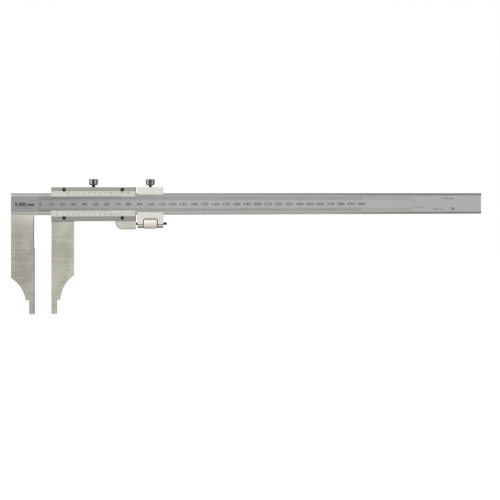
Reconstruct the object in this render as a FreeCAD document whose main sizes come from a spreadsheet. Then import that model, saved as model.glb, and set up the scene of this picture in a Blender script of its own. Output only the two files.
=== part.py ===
import FreeCAD, Part
import math
import os

import Sketcher

# Vernier caliper, 0 to 300 mm, with long nib jaws and a fine adjustment carriage.
#
# The origin is the centre of the fixed jaw's measuring face, in the middle of its thickness.
# +X runs along the beam away from the fixed jaw, +Z runs from the tips of the jaws up to the
# clamp screws, and the scale faces -Y. The jaws stand open by the cell "opening".
# All lengths are in millimetres.

SIZES = {
    # Beam and fixed jaw, one forging
    "opening": 15,
    "beam_length": 445,
    "beam_height": 20,
    "beam_thickness": 4,
    "rail_width": 1.75,
    "rail_bevel": 1.15,
    "scale_recess": 0.3,
    "edge_chamfer": 0.3,
    # Both jaws
    "jaw_depth": 90,
    "face_length": 60,
    "fixed_jaw_width": 20.9,
    "fixed_taper_top": 3.2,
    "fixed_relief": 0.65,
    "moving_jaw_width": 20.1,
    "moving_taper_top": 4.8,
    "moving_relief": 0.1,
    "taper_radius": 30,
    "taper_end_width": 7.8,
    "nib_length": 12.7,
    "nib_width": 5,
    "nib_radius": 5,
    "fixed_root_fillet": 0.6,
    "moving_root_fillet": 1.2,
    # Slider
    "slider_length": 76.5,
    "slider_rise": 5.5,
    "slider_drop": 5.6,
    "slider_front": 3.6,
    "slider_back": 4.1,
    "block_chamfer": 0.25,
    "block_end_chamfer": 0.7,
    "slide_clearance": 0.05,
    "guide_clearance": 0.03,
    "gib_space": 1,
    "lip_overlap": 2.4,
    # Vernier plates and their screws
    "plate_thickness": 0.95,
    "plate_end_gap": 0.7,
    "upper_plate_low": 3.6,
    "upper_plate_high": 1.9,
    "lower_plate_high": 4.1,
    "lower_plate_low": 1.1,
    "plate_bevel": 0.6,
    "plate_ear_radius": 1.6,
    "ear_clearance": 0.05,
    "plate_screw_inset": 11.5,
    "plate_screw_pitch": 52.5,
    "upper_screw_rise": 3.3,
    "lower_screw_drop": 2.6,
    "plate_screw_head_radius": 1.7,
    "plate_screw_head": 0.6,
    "plate_screw_shank_radius": 0.75,
    "plate_screw_shank": 3.2,
    "plate_screw_slot": 0.45,
    "plate_screw_slot_depth": 0.35,
    "tapped_clearance": 0.03,
    "cut_past": 1,
    # Feed lug on the slider
    "lug_length": 18.6,
    "lug_drop": 7.6,
    "lug_half_thickness": 3,
    "lug_corner_radius": 6.5,
    "lug_chamfer": 0.5,
    # Gibs and their screws
    "gib_thickness": 0.8,
    "gib_half_width": 1.6,
    "gib_end_gap": 1.5,
    "gib_under_gap": 0.05,
    "gib_dimple_radius": 0.9,
    "gib_dimple_depth": 0.4,
    "clamp_dimple_radius": 1.5,
    "clamp_dimple_depth": 0.2,
    "set_screw_radius": 1.25,
    "set_screw_length": 4,
    "set_screw_inset": 18,
    "set_screw_point_radius": 0.8,
    "set_screw_point": 0.9,
    "set_screw_slot": 0.5,
    "set_screw_slot_depth": 0.8,
    # Clamp screws
    "clamp_head_radius": 4,
    "clamp_head_height": 5.8,
    "clamp_head_rise": 7.2,
    "clamp_head_round": 1.9,
    "clamp_head_chamfer": 0.4,
    "clamp_shank_radius": 1.35,
    "clamp_hole_clearance": 0.05,
    "clamp_tip_gap": 0.03,
    "slider_clamp_from_face": 37.8,
    "clamp_thread_relief": 0.4,
    # Fine adjustment carriage
    "carriage_gap": 1.4,
    "carriage_length": 23.7,
    "carriage_rise": 5.6,
    "carriage_drop": 9,
    "carriage_half_thickness": 4.1,
    "carriage_corner": 0.8,
    "carriage_clamp_from_left": 11.8,
    "carriage_upper_lip": 1.85,
    "carriage_lower_lip": 2.45,
    "carriage_lip_bevel": 0.7,
    "ear_radius": 4,
    "ear_length": 4.9,
    "nut_window_length": 13.6,
    "nut_window_top": 3.1,
    # Feed screw and nut
    "feed_axis_drop": 8.2,
    "feed_radius": 1.25,
    "feed_in_lug": 13,
    "feed_length": 41.5,
    "feed_end_chamfer": 0.3,
    "feed_fit_clearance": 0.02,
    "ear_bore_clearance": 0.1,
    "pin_radius": 0.75,
    "pin_length": 6.4,
    "pin_from_right": 6.5,
    "pin_clearance": 0.01,
    "nut_radius": 4.9,
    "nut_length": 12.1,
    "nut_boss_radius": 4,
    "nut_side_gap": 0.9,
    "nut_boss_gap": 0.06,
    "nut_chamfer": 0.15,
    "nut_bore_clearance": 0.05,
}

# How far the slot of each pair's left and right screw is turned, in degrees
UPPER_SLOT_ANGLES = (-20, 25)
LOWER_SLOT_ANGLES = (-35, 10)

doc = FreeCAD.newDocument("vernier_caliper")
sheet = doc.addObject("Spreadsheet::Sheet", "dims")
for row, (alias, number) in enumerate(SIZES.items(), start=1):
    sheet.set(f"A{row}", alias.replace("_", " "))
    sheet.set(f"B{row}", str(number))
    sheet.setAlias(f"B{row}", alias)
doc.recompute()


class Size:
    """A length together with the spreadsheet expression that gives it."""

    def __init__(self, number, text):
        self.number = number
        self.text = text

    def __add__(self, other):
        other = as_size(other)
        return Size(self.number + other.number, f"({self.text} + {other.text})")

    def __sub__(self, other):
        other = as_size(other)
        return Size(self.number - other.number, f"({self.text} - {other.text})")

    def __mul__(self, factor):
        return Size(self.number * factor, f"({self.text} * {factor})")

    def __neg__(self):
        return self * -1

    def __truediv__(self, divisor):
        return Size(self.number / divisor, f"({self.text} / {divisor})")


def as_size(value):
    """A Size as it is, or a plain number as a Size of its own."""
    return value if isinstance(value, Size) else Size(float(value), f"{float(value)}")


def cell(alias):
    """The Size held by one cell of the sheet."""
    return Size(float(SIZES[alias]), f"dims.{alias}")


def bind(item, prop, size):
    """Bind one length property of an object to the sheet."""
    item.setExpression(prop, f"({as_size(size).text}) * 1 mm")


def move(item, x=0, y=0, z=0):
    """Bind an object's place to the sheet."""
    for letter, size in zip("xyz", (x, y, z)):
        item.setExpression(f"Placement.Base.{letter}", f"({as_size(size).text}) * 1 mm")


def turn(item, axis, degrees):
    """Turn an object about its own origin."""
    item.Placement = FreeCAD.Placement(item.Placement.Base, FreeCAD.Rotation(axis, degrees))


X_AXIS = FreeCAD.Vector(1, 0, 0)
Y_AXIS = FreeCAD.Vector(0, 1, 0)

# Heights and ends that several pieces share; cuts run past the faces they open
past = cell("cut_past")
half_beam = cell("beam_thickness") / 2
tip = -cell("face_length") / 2
face_top = cell("face_length") / 2
beam_bottom = tip + cell("jaw_depth")
beam_top = beam_bottom + cell("beam_height")
beam_left = -cell("fixed_jaw_width")
beam_right = beam_left + cell("beam_length")
slider_left = cell("opening")
slider_right = slider_left + cell("slider_length")
slider_bottom = beam_bottom - cell("slider_drop")
slider_top = beam_top + cell("slider_rise")
channel_half = half_beam + cell("slide_clearance")
channel_bottom = beam_bottom - cell("guide_clearance")
channel_top = beam_top + cell("gib_space")
seat = cell("slider_front") - cell("plate_thickness")
gib_bottom = beam_top + cell("gib_under_gap")
gib_top = gib_bottom + cell("gib_thickness")
feed_z = beam_bottom - cell("feed_axis_drop")
carriage_left = slider_right + cell("carriage_gap")
carriage_right = carriage_left + cell("carriage_length")
window_left = carriage_left + cell("ear_length")
window_right = window_left + cell("nut_window_length")
slider_clamp_x = slider_left + cell("slider_clamp_from_face")
carriage_clamp_x = carriage_left + cell("carriage_clamp_from_left")
screw_xs = (
    slider_left + cell("plate_screw_inset"),
    slider_left + cell("plate_screw_inset") + cell("plate_screw_pitch"),
)
lip_edge = cell("lip_overlap") + cell("ear_clearance")
upper_plate_low = beam_top - cell("upper_plate_low")
lower_plate_high = beam_bottom + cell("lower_plate_high")
upper_screw_z = beam_top + cell("upper_screw_rise")
lower_screw_z = beam_bottom - cell("lower_screw_drop")
set_screw_xs = (slider_left + cell("set_screw_inset"), slider_right - cell("set_screw_inset"))


# Sketches and features

def new_body(label):
    """A PartDesign body whose label names its file."""
    body = doc.addObject("PartDesign::Body", label)
    body.Label = label
    return body


def arc_centre(start, end, radius, side):
    """The centre of an arc of this radius on the given side of the line from start to end."""
    across = (end[0] - start[0], end[1] - start[1])
    chord = math.hypot(*across)
    rise = math.sqrt(radius * radius - chord * chord / 4)
    normal = (-across[1] / chord * side, across[0] / chord * side)
    middle = ((start[0] + end[0]) / 2, (start[1] + end[1]) / 2)
    return FreeCAD.Vector(middle[0] + normal[0] * rise, middle[1] + normal[1] * rise, 0)


def add_arc(sketch, start, end, radius, side):
    """An arc from start to end; returns its index and which of its ends is the start."""
    centre = arc_centre(start, end, radius, side)
    first = math.atan2(start[1] - centre.y, start[0] - centre.x)
    last = math.atan2(end[1] - centre.y, end[0] - centre.x)
    circle = Part.Circle(centre, FreeCAD.Vector(0, 0, 1), radius)
    anticlockwise = side > 0
    if anticlockwise:
        arc = Part.ArcOfCircle(circle, first, last)
    else:
        arc = Part.ArcOfCircle(circle, last, first)
    index = sketch.addGeometry(arc, False)
    return index, (1 if anticlockwise else 2)


def outline_sketch(body, name, role, corners):
    """A closed outline on one of the body's origin planes.

    Each corner is (x, y), or (x, y, radius, side) where an arc leads on to the next corner.
    """
    sketch = body.newObject("Sketcher::SketchObject", name)
    plane = [item for item in body.Origin.OriginFeatures if item.Role == role][0]
    sketch.AttachmentSupport = [(plane, "")]
    sketch.MapMode = "FlatFace"
    corners = [(as_size(c[0]), as_size(c[1]), *c[2:]) for c in corners]
    ends = []
    for i, corner in enumerate(corners):
        following = corners[(i + 1) % len(corners)]
        start = (corner[0].number, corner[1].number)
        end = (following[0].number, following[1].number)
        if len(corner) == 4:
            radius, side = corner[2], corner[3]
            index, first = add_arc(sketch, start, end, radius.number, side)
            bend = sketch.addConstraint(Sketcher.Constraint("Radius", index, radius.number))
            sketch.setExpression(f"Constraints[{bend}]", f"({radius.text}) * 1 mm")
        else:
            line = Part.LineSegment(FreeCAD.Vector(*start, 0), FreeCAD.Vector(*end, 0))
            index, first = sketch.addGeometry(line, False), 1
        ends.append((index, first, 3 - first))
    for i, (index, first, last) in enumerate(ends):
        next_index, next_first, _ = ends[(i + 1) % len(ends)]
        sketch.addConstraint(Sketcher.Constraint("Coincident", index, last, next_index, next_first))
    for (index, first, _), corner in zip(ends, corners):
        for kind, size in (("DistanceX", corner[0]), ("DistanceY", corner[1])):
            place = sketch.addConstraint(
                Sketcher.Constraint(kind, -1, 1, index, first, size.number))
            sketch.setExpression(f"Constraints[{place}]", f"({size.text}) * 1 mm")
    return sketch


def pad(body, name, corners, half_depth):
    """An outline in the XZ plane, padded to half_depth each way along Y."""
    feature = body.newObject("PartDesign::Pad", name)
    feature.Profile = outline_sketch(body, name + "_outline", "XZ_Plane", corners)
    feature.SideType = "Symmetric"
    bind(feature, "Length", half_depth * 2)
    return feature


def revolve(body, name, role, axis, corners):
    """An outline turned once round its sketch's V_Axis or H_Axis."""
    feature = body.newObject("PartDesign::Revolution", name)
    sketch = outline_sketch(body, name + "_outline", role, corners)
    feature.Profile = sketch
    feature.ReferenceAxis = (sketch, [axis])
    feature.Angle = 360
    return feature


def box(body, kind, name, low, high):
    """A box feature between two corners; kind is Additive or Subtractive."""
    feature = body.newObject(f"PartDesign::{kind}Box", name)
    for prop, near, far in zip(("Length", "Width", "Height"), low, high):
        bind(feature, prop, as_size(far) - as_size(near))
    move(feature, *low)
    return feature


def cylinder(body, kind, name, start, direction, radius, length):
    """A cylinder feature from start along a row axis; kind is Additive or Subtractive."""
    feature = body.newObject(f"PartDesign::{kind}Cylinder", name)
    bind(feature, "Radius", radius)
    bind(feature, "Height", length)
    turns = {"x": (Y_AXIS, 90), "y": (X_AXIS, -90), "z": (Y_AXIS, 0), "-z": (X_AXIS, 180)}
    turn(feature, *turns[direction])
    move(feature, *start)
    return feature


def edges_where(feature, test):
    """Names of the feature's straight or round edges whose ends both pass a test."""
    doc.recompute()
    names = []
    for i, edge in enumerate(feature.Shape.Edges, start=1):
        if all(test(vertex.Point) for vertex in edge.Vertexes):
            names.append(f"Edge{i}")
    if not names:
        raise RuntimeError("no edge found on " + feature.Name)
    return names


def dress(body, kind, name, feature, names, size):
    """A Fillet or Chamfer on named edges of the body's last feature."""
    dressing = body.newObject(f"PartDesign::{kind}", name)
    dressing.Base = (feature, names)
    bind(dressing, "Radius" if kind == "Fillet" else "Size", size)
    doc.recompute()
    return dressing


def near(number, size):
    """Whether a coordinate lies on a given size."""
    return abs(number - as_size(size).number) < 1e-3


def jaw_outline(face, width, taper_top, relief, top, out):
    """Corners of a jaw from its tip up to top; out is -1 or 1, away from the measuring face."""
    shoulder = tip + cell("nib_length")
    taper_foot = face + cell("taper_end_width") * out
    return [
        (face, tip),
        (face, face_top),
        (face + relief * out, face_top),
        (face + relief * out, top),
        (face + width * out, top),
        (face + width * out, taper_top, cell("taper_radius"), out),
        (taper_foot, shoulder),
        (face + cell("nib_width") * out, shoulder),
        (face + cell("nib_width") * out, tip),
    ]


def round_nib(body, name, face, out):
    """Round the outer side of a nib, so that it also measures inside a bore."""
    spare = cell("nib_width")
    ring_height = cell("nib_length")
    corners = [
        (cell("nib_radius"), tip - past),
        (cell("nib_radius") + spare, tip - past),
        (cell("nib_radius") + spare, tip + ring_height),
        (cell("nib_radius"), tip + ring_height),
    ]
    groove = body.newObject("PartDesign::Groove", name)
    sketch = outline_sketch(body, name + "_outline", "XZ_Plane", corners)
    move_sketch(sketch, face)
    groove.Profile = sketch
    groove.ReferenceAxis = (sketch, ["V_Axis"])
    groove.Angle = 360
    return groove


def move_sketch(sketch, x):
    """Shift an XZ sketch and its own axes along X."""
    sketch.setExpression("AttachmentOffset.Base.x", f"({as_size(x).text}) * 1 mm")


# Beam with the fixed jaw

def cut_scale_face(body):
    """Sink the scale between two guide rails, with a bevel from each rail down to it."""
    front = -half_beam
    floor = front + cell("scale_recess")
    low = beam_bottom + cell("rail_width")
    high = beam_top - cell("rail_width")
    pocket = body.newObject("PartDesign::Pocket", "scale_face")
    pocket.Profile = outline_sketch(body, "scale_face_outline", "YZ_Plane", [
        (front - past, low),
        (front, low),
        (floor, low + cell("rail_bevel")),
        (floor, high - cell("rail_bevel")),
        (front, high),
        (front - past, high),
    ])
    pocket.SideType = "Symmetric"
    bind(pocket, "Length", cell("beam_length") * 2)
    return pocket


def build_main_beam():
    body = new_body("main_beam")
    pad(body, "beam", [
        (beam_left, beam_bottom),
        (beam_right, beam_bottom),
        (beam_right, beam_top),
        (beam_left, beam_top),
    ], half_beam)
    face = as_size(0)
    jaw = pad(body, "fixed_jaw", jaw_outline(
        face, cell("fixed_jaw_width"), cell("fixed_taper_top"), cell("fixed_relief"),
        beam_bottom + cell("edge_chamfer") * 2, -1), half_beam)
    root_x = -cell("fixed_relief")
    root = edges_where(jaw, lambda p: near(p.x, root_x) and near(p.z, beam_bottom))
    last = dress(body, "Fillet", "jaw_root_fillet", jaw, root, cell("fixed_root_fillet"))
    round_nib(body, "fixed_nib_round", face, -1)
    last = cut_scale_face(body)
    long_edges = edges_where(last, lambda p: near(abs(p.y), half_beam) and (
        near(p.z, beam_top) or (near(p.z, beam_bottom) and p.x > root_x.number)))
    last = dress(body, "Chamfer", "beam_edge_chamfer", last, long_edges, cell("edge_chamfer"))
    outer = edges_where(last, lambda p: near(abs(p.y), half_beam) and near(p.x, beam_left)
                        and p.z < (beam_bottom + past).number)
    dress(body, "Chamfer", "fixed_jaw_chamfer", last, outer, cell("edge_chamfer"))
    return body


# Slider with the moving jaw

def build_slider_body():
    body = new_body("slider_body")
    front, back = -cell("slider_front"), cell("slider_back")
    block = box(body, "Additive", "block", (slider_left, front, slider_bottom),
                (slider_right, back, slider_top))
    end = edges_where(block, lambda p: near(p.y, front) and near(p.x, slider_right))
    bevelled = dress(body, "Chamfer", "block_end_chamfer", block, end, cell("block_end_chamfer"))
    outline = edges_where(bevelled, lambda p: near(p.y, front))
    inner = slider_right - cell("block_end_chamfer")
    outline = [name for name in outline
               if not near(bevelled.Shape.getElement(name).BoundBox.XMin, inner)]
    outline += edges_where(bevelled, lambda p: near(p.y, back))
    dress(body, "Chamfer", "block_chamfer", bevelled, outline, cell("block_chamfer"))
    jaw = pad(body, "moving_jaw", jaw_outline(
        slider_left, cell("moving_jaw_width"), cell("moving_taper_top"), cell("moving_relief"),
        slider_bottom + cell("lip_overlap"), 1), half_beam)
    jaw_right = slider_left + cell("moving_jaw_width")
    root = edges_where(jaw, lambda p: near(p.x, jaw_right) and near(p.z, slider_bottom))
    dress(body, "Fillet", "moving_root_fillet", jaw, root, cell("moving_root_fillet"))
    round_nib(body, "moving_nib_round", slider_left, 1)

    lug_left = slider_right - cell("lug_length")
    lug_bottom = slider_bottom - cell("lug_drop")
    corner = cell("lug_corner_radius")
    lug = pad(body, "feed_lug", [
        (lug_left + corner, lug_bottom),
        (slider_right, lug_bottom),
        (slider_right, slider_bottom + past),
        (lug_left, slider_bottom + past),
        (lug_left, lug_bottom + corner, corner, 1),
    ], cell("lug_half_thickness"))
    rim = edges_where(lug, lambda p: near(abs(p.y), cell("lug_half_thickness"))
                      and p.z < slider_bottom.number)
    dress(body, "Chamfer", "lug_chamfer", lug, rim, cell("lug_chamfer"))

    box(body, "Subtractive", "beam_channel", (slider_left - past, -channel_half, channel_bottom),
        (slider_right + past, channel_half, channel_top))
    box(body, "Subtractive", "scale_window",
        (slider_left - past, front - past, beam_bottom + cell("lip_overlap")),
        (slider_right + past, -channel_half, beam_top - cell("lip_overlap")))
    box(body, "Subtractive", "lower_seat",
        (slider_left - past, front - past, beam_bottom - cell("lower_plate_low")),
        (slider_right + past, -seat, beam_bottom + cell("lip_overlap")))
    box(body, "Subtractive", "upper_seat",
        (slider_left - past, front - past, beam_top - cell("lip_overlap")),
        (slider_right + past, -seat, beam_top + cell("upper_plate_high")))
    ear_pocket = cell("plate_ear_radius") + cell("ear_clearance")
    tapped = cell("plate_screw_shank_radius") + cell("tapped_clearance")
    for row, z in (("upper", upper_screw_z), ("lower", lower_screw_z)):
        for side, x in zip(("left", "right"), screw_xs):
            cylinder(body, "Subtractive", f"{row}_{side}_ear_pocket", (x, front - past, z), "y",
                     ear_pocket, cell("plate_thickness") + past)
            cylinder(body, "Subtractive", f"{row}_{side}_screw_hole", (x, front, z), "y",
                     tapped, cell("plate_screw_shank") + cell("plate_thickness"))
    for side, x in zip(("left", "right"), set_screw_xs):
        cylinder(body, "Subtractive", f"{side}_set_screw_hole", (x, 0, channel_top - past), "z",
                 cell("set_screw_radius") + cell("tapped_clearance"), cell("slider_rise") + past)
    cylinder(body, "Subtractive", "clamp_hole", (slider_clamp_x, 0, channel_top - past), "z",
             cell("clamp_shank_radius") + cell("clamp_hole_clearance"),
             cell("slider_rise") + past)
    bore_start = slider_right - cell("feed_in_lug") - past
    cylinder(body, "Subtractive", "feed_screw_hole", (bore_start, 0, feed_z), "x",
             cell("feed_radius") + cell("feed_fit_clearance"), cell("feed_in_lug") + past * 2)
    cylinder(body, "Subtractive", "pin_hole",
             (slider_right - cell("pin_from_right"), 0, lug_bottom - past), "z",
             cell("pin_radius") + cell("pin_clearance"), cell("pin_length") + past)
    return body


# Vernier plates, each with two round ears that its screws hold down

def build_vernier_plate(label, low, high, screw_z, edge_low, edge_high, bevel_at_low):
    """A strip on its seat; its reading edge reaches back past the slider's lip to the beam."""
    body = new_body(label)
    front = -cell("slider_front")
    right = slider_right - cell("plate_end_gap")
    box(body, "Additive", "strip", (slider_left, front, low), (right, -seat, high))
    box(body, "Additive", "reading_edge", (slider_left, -seat, edge_low),
        (right, -channel_half, edge_high))
    for side, x in zip(("left", "right"), screw_xs):
        cylinder(body, "Additive", f"{side}_ear", (x, front, screw_z), "y",
                 cell("plate_ear_radius"), cell("plate_thickness"))
    for side, x in zip(("left", "right"), screw_xs):
        last = cylinder(body, "Subtractive", f"{side}_hole", (x, front - past, screw_z), "y",
                        cell("plate_screw_shank_radius") + cell("ear_clearance"),
                        cell("plate_thickness") + past * 2)
    scale_edge = low if bevel_at_low else high
    edges = edges_where(last, lambda p: near(p.y, front) and near(p.z, scale_edge))
    dress(body, "Chamfer", "scale_bevel", last, edges, cell("plate_bevel"))
    return body


def build_plate_screws(label, z, slot_angles):
    """A pair of cheese-head screws, each with its slot at its own angle."""
    screws = []
    for side, x, slot_angle in zip(("left", "right"), screw_xs, slot_angles):
        head = doc.addObject("Part::Cylinder", f"{label}_{side}_head")
        bind(head, "Radius", cell("plate_screw_head_radius"))
        bind(head, "Height", cell("plate_screw_head"))
        shank = doc.addObject("Part::Cylinder", f"{label}_{side}_shank")
        bind(shank, "Radius", cell("plate_screw_shank_radius"))
        bind(shank, "Height", cell("plate_screw_head") + cell("plate_screw_shank"))
        slot = doc.addObject("Part::Box", f"{label}_{side}_slot")
        bind(slot, "Length", cell("plate_screw_head_radius") * 4)
        bind(slot, "Width", cell("plate_screw_slot"))
        bind(slot, "Height", cell("plate_screw_slot_depth"))
        move(slot, -cell("plate_screw_head_radius") * 2, -cell("plate_screw_slot") / 2, 0)
        solid = doc.addObject("Part::Fuse", f"{label}_{side}_blank")
        solid.Base = head
        solid.Tool = shank
        screw = doc.addObject("Part::Cut", f"{label}_{side}")
        screw.Base = solid
        screw.Tool = slot
        lie = FreeCAD.Rotation(X_AXIS, -90).multiply(FreeCAD.Rotation(FreeCAD.Vector(0, 0, 1),
                                                                       slot_angle))
        screw.Placement = FreeCAD.Placement(FreeCAD.Vector(), lie)
        move(screw, x, -cell("slider_front") - cell("plate_screw_head"), z)
        screws.append(screw)
    pair = doc.addObject("Part::Compound", label)
    pair.Label = label
    pair.Links = screws
    return pair


# Gibs between the beam's upper edge and the wall above it

def build_gib(label, left, right, set_xs, clamp_x):
    """A strip with dimples for its set screws' points and for its clamp screw's end."""
    body = new_body(label)
    half = cell("gib_half_width")
    gap = cell("gib_end_gap")
    box(body, "Additive", "strip", (left + gap, -half, gib_bottom), (right - gap, half, gib_top))
    for i, x in enumerate(set_xs, start=1):
        cylinder(body, "Subtractive", f"dimple_{i}", (x, 0, gib_top - cell("gib_dimple_depth")),
                 "z", cell("gib_dimple_radius"), cell("gib_dimple_depth") + past)
    cylinder(body, "Subtractive", "clamp_dimple",
             (clamp_x, 0, gib_top - cell("clamp_dimple_depth")), "z",
             cell("clamp_dimple_radius"), cell("clamp_dimple_depth") + past)
    return body


def build_gib_set_screws():
    """A pair of headless screws whose dog points hold the slider's gib endwise."""
    tip_z = gib_top - cell("gib_dimple_depth") + cell("clamp_tip_gap")
    screws = []
    for side, x in zip(("left", "right"), set_screw_xs):
        point = doc.addObject("Part::Cylinder", f"set_screw_{side}_point")
        bind(point, "Radius", cell("set_screw_point_radius"))
        bind(point, "Height", cell("set_screw_point") + past)
        thread = doc.addObject("Part::Cylinder", f"set_screw_{side}_thread")
        bind(thread, "Radius", cell("set_screw_radius"))
        bind(thread, "Height", cell("set_screw_length"))
        move(thread, 0, 0, cell("set_screw_point"))
        slot = doc.addObject("Part::Box", f"set_screw_{side}_slot")
        bind(slot, "Length", cell("set_screw_radius") * 4)
        bind(slot, "Width", cell("set_screw_slot"))
        bind(slot, "Height", cell("set_screw_slot_depth") + past)
        move(slot, -cell("set_screw_radius") * 2, -cell("set_screw_slot") / 2,
             cell("set_screw_point") + cell("set_screw_length") - cell("set_screw_slot_depth"))
        solid = doc.addObject("Part::Fuse", f"set_screw_{side}_blank")
        solid.Base = thread
        solid.Tool = point
        screw = doc.addObject("Part::Cut", f"set_screw_{side}")
        screw.Base = solid
        screw.Tool = slot
        move(screw, x, 0, tip_z)
        screws.append(screw)
    pair = doc.addObject("Part::Compound", "gib_set_screws")
    pair.Label = "gib_set_screws"
    pair.Links = screws
    return pair


# Clamp screws: a round head with a rounded under-edge on a plain shank

def build_clamp_screw(label, x):
    body = new_body(label)
    radius = cell("clamp_head_radius")
    shank = cell("clamp_shank_radius")
    round_under = cell("clamp_head_round")
    chamfer = cell("clamp_head_chamfer")
    under = cell("clamp_head_rise")
    top = under + cell("clamp_head_height")
    tip_z = gib_top - beam_top - cell("clamp_dimple_depth") + cell("clamp_tip_gap")
    tip_chamfer = cell("clamp_thread_relief")
    revolve(body, "turned", "XZ_Plane", "V_Axis", [
        (0, tip_z),
        (shank - tip_chamfer, tip_z),
        (shank, tip_z + tip_chamfer),
        (shank, under),
        (radius - round_under, under, round_under, 1),
        (radius, under + round_under),
        (radius, top - chamfer),
        (radius - chamfer, top),
        (0, top),
    ])
    move(body, x, 0, beam_top)
    return body


# Feed screw, its pin and its nut

def build_feed_screw():
    body = new_body("feed_screw")
    radius = cell("feed_radius")
    chamfer = cell("feed_end_chamfer")
    length = cell("feed_length")
    revolve(body, "turned", "XZ_Plane", "H_Axis", [
        (0, 0),
        (0, radius),
        (length - chamfer, radius),
        (length, radius - chamfer),
        (length, 0),
    ])
    pin_x = cell("feed_in_lug") - cell("pin_from_right")
    cylinder(body, "Subtractive", "pin_hole", (pin_x, 0, -radius - past), "z",
             cell("pin_radius") + cell("pin_clearance"), (radius + past) * 2)
    move(body, slider_right - cell("feed_in_lug"), 0, feed_z)
    return body


def build_feed_screw_pin():
    body = new_body("feed_screw_pin")
    cylinder(body, "Additive", "dowel", (0, 0, 0), "z", cell("pin_radius"),
             cell("pin_length") - cell("clamp_tip_gap"))
    move(body, slider_right - cell("pin_from_right"), 0, slider_bottom - cell("lug_drop"))
    return body


def build_fine_adjust_nut():
    body = new_body("fine_adjust_nut")
    rim = cell("nut_radius")
    boss = cell("nut_boss_radius")
    bore = cell("feed_radius") + cell("nut_bore_clearance")
    chamfer = cell("nut_chamfer")
    left = cell("nut_side_gap")
    right = left + cell("nut_length")
    gap = cell("nut_boss_gap")
    revolve(body, "turned", "XZ_Plane", "H_Axis", [
        (gap, bore),
        (gap, boss),
        (left, boss),
        (left, rim - chamfer),
        (left + chamfer, rim),
        (right - chamfer, rim),
        (right, rim - chamfer),
        (right, boss),
        (cell("nut_window_length") - gap, boss),
        (cell("nut_window_length") - gap, bore),
    ])
    move(body, window_left, 0, feed_z)
    return body


# Carriage that the clamp screw holds on the beam while the nut feeds the slider

def build_carriage_body():
    body = new_body("carriage_body")
    half = cell("carriage_half_thickness")
    block_bottom = beam_bottom - cell("carriage_drop")
    top = beam_top + cell("carriage_rise")
    block = box(body, "Additive", "block", (carriage_left, -half, block_bottom),
                (carriage_right, half, top))
    corners = [name for x in (carriage_left, carriage_right)
               for name in edges_where(block, lambda p, x=x: near(p.x, x) and near(p.z, top))]
    rounded = dress(body, "Fillet", "top_corners", block, corners, cell("carriage_corner"))
    outline = edges_where(rounded, lambda p: near(p.y, -half))
    outline += edges_where(rounded, lambda p: near(p.y, half))
    dress(body, "Chamfer", "block_chamfer", rounded, outline, cell("block_chamfer"))
    for side, x, length in (
        ("left", carriage_left, cell("ear_length")),
        ("right", window_right, carriage_right - window_right),
    ):
        cylinder(body, "Additive", f"{side}_ear", (x, 0, feed_z), "x",
                 cell("ear_radius"), length)
    box(body, "Subtractive", "beam_channel",
        (carriage_left - past, -channel_half, channel_bottom),
        (carriage_right + past, channel_half, channel_top))
    lower_lip = beam_bottom + cell("carriage_lower_lip")
    upper_lip = beam_top - cell("carriage_upper_lip")
    window = box(body, "Subtractive", "scale_window",
                 (carriage_left - past, -half - past, lower_lip),
                 (carriage_right + past, -channel_half, upper_lip))
    edges = edges_where(window, lambda p: near(p.y, -half)
                        and (near(p.z, lower_lip) or near(p.z, upper_lip)))
    dress(body, "Chamfer", "lip_bevel", window, edges, cell("carriage_lip_bevel"))
    box(body, "Subtractive", "nut_window",
        (window_left, -half - past, feed_z - cell("ear_radius") - past),
        (window_right, half + past, beam_bottom - cell("nut_window_top")))
    cylinder(body, "Subtractive", "clamp_hole", (carriage_clamp_x, 0, channel_top - past), "z",
             cell("clamp_shank_radius") + cell("clamp_hole_clearance"),
             cell("carriage_rise") + past)
    cylinder(body, "Subtractive", "feed_bore", (carriage_left - past, 0, feed_z), "x",
             cell("feed_radius") + cell("ear_bore_clearance"), cell("carriage_length") + past * 2)
    return body


def build_all():
    """Every sub-part of the caliper."""
    return [
        build_main_beam(),
        build_slider_body(),
        build_vernier_plate("upper_vernier_plate", upper_plate_low,
                            beam_top + cell("upper_plate_high"), upper_screw_z,
                            upper_plate_low, beam_top - lip_edge, True),
        build_vernier_plate("lower_vernier_plate", beam_bottom - cell("lower_plate_low"),
                            lower_plate_high, lower_screw_z,
                            beam_bottom + lip_edge, lower_plate_high, False),
        build_plate_screws("upper_vernier_screws", upper_screw_z, UPPER_SLOT_ANGLES),
        build_plate_screws("lower_vernier_screws", lower_screw_z, LOWER_SLOT_ANGLES),
        build_gib("slider_gib", slider_left, slider_right, set_screw_xs, slider_clamp_x),
        build_gib_set_screws(),
        build_clamp_screw("slider_clamp_screw", slider_clamp_x),
        build_feed_screw(),
        build_feed_screw_pin(),
        build_fine_adjust_nut(),
        build_carriage_body(),
        build_gib("carriage_gib", carriage_left, carriage_right, (), carriage_clamp_x),
        build_clamp_screw("carriage_clamp_screw", carriage_clamp_x),
    ]


def check_and_export(parts):
    """Refuse any failed object or empty shape, then write one STEP file for each sub-part."""
    doc.recompute()
    for item in doc.Objects:
        if "Invalid" in item.State or "Error" in item.State:
            raise RuntimeError(f"{item.Name} failed: {item.State}")
    for part in parts:
        if part.Shape.isNull() or not part.Shape.isValid() or not part.Shape.Solids:
            raise RuntimeError(f"{part.Label} has no valid solid")
    os.makedirs("parts", exist_ok=True)
    for part in parts:
        part.Shape.exportStep(f"parts/{part.Label}.step")
        print(part.Label, len(part.Shape.Solids), round(part.Shape.Volume, 2))


check_and_export(build_all())
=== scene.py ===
"""Looks of the vernier caliper: finishes, graduations, knurls, threads, light and camera.

Everything is in metres in the row frame: +X along the beam, +Z up, the scale faces -Y.
"""

import math

import bmesh
import bpy
from mathutils import Matrix, Vector


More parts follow.
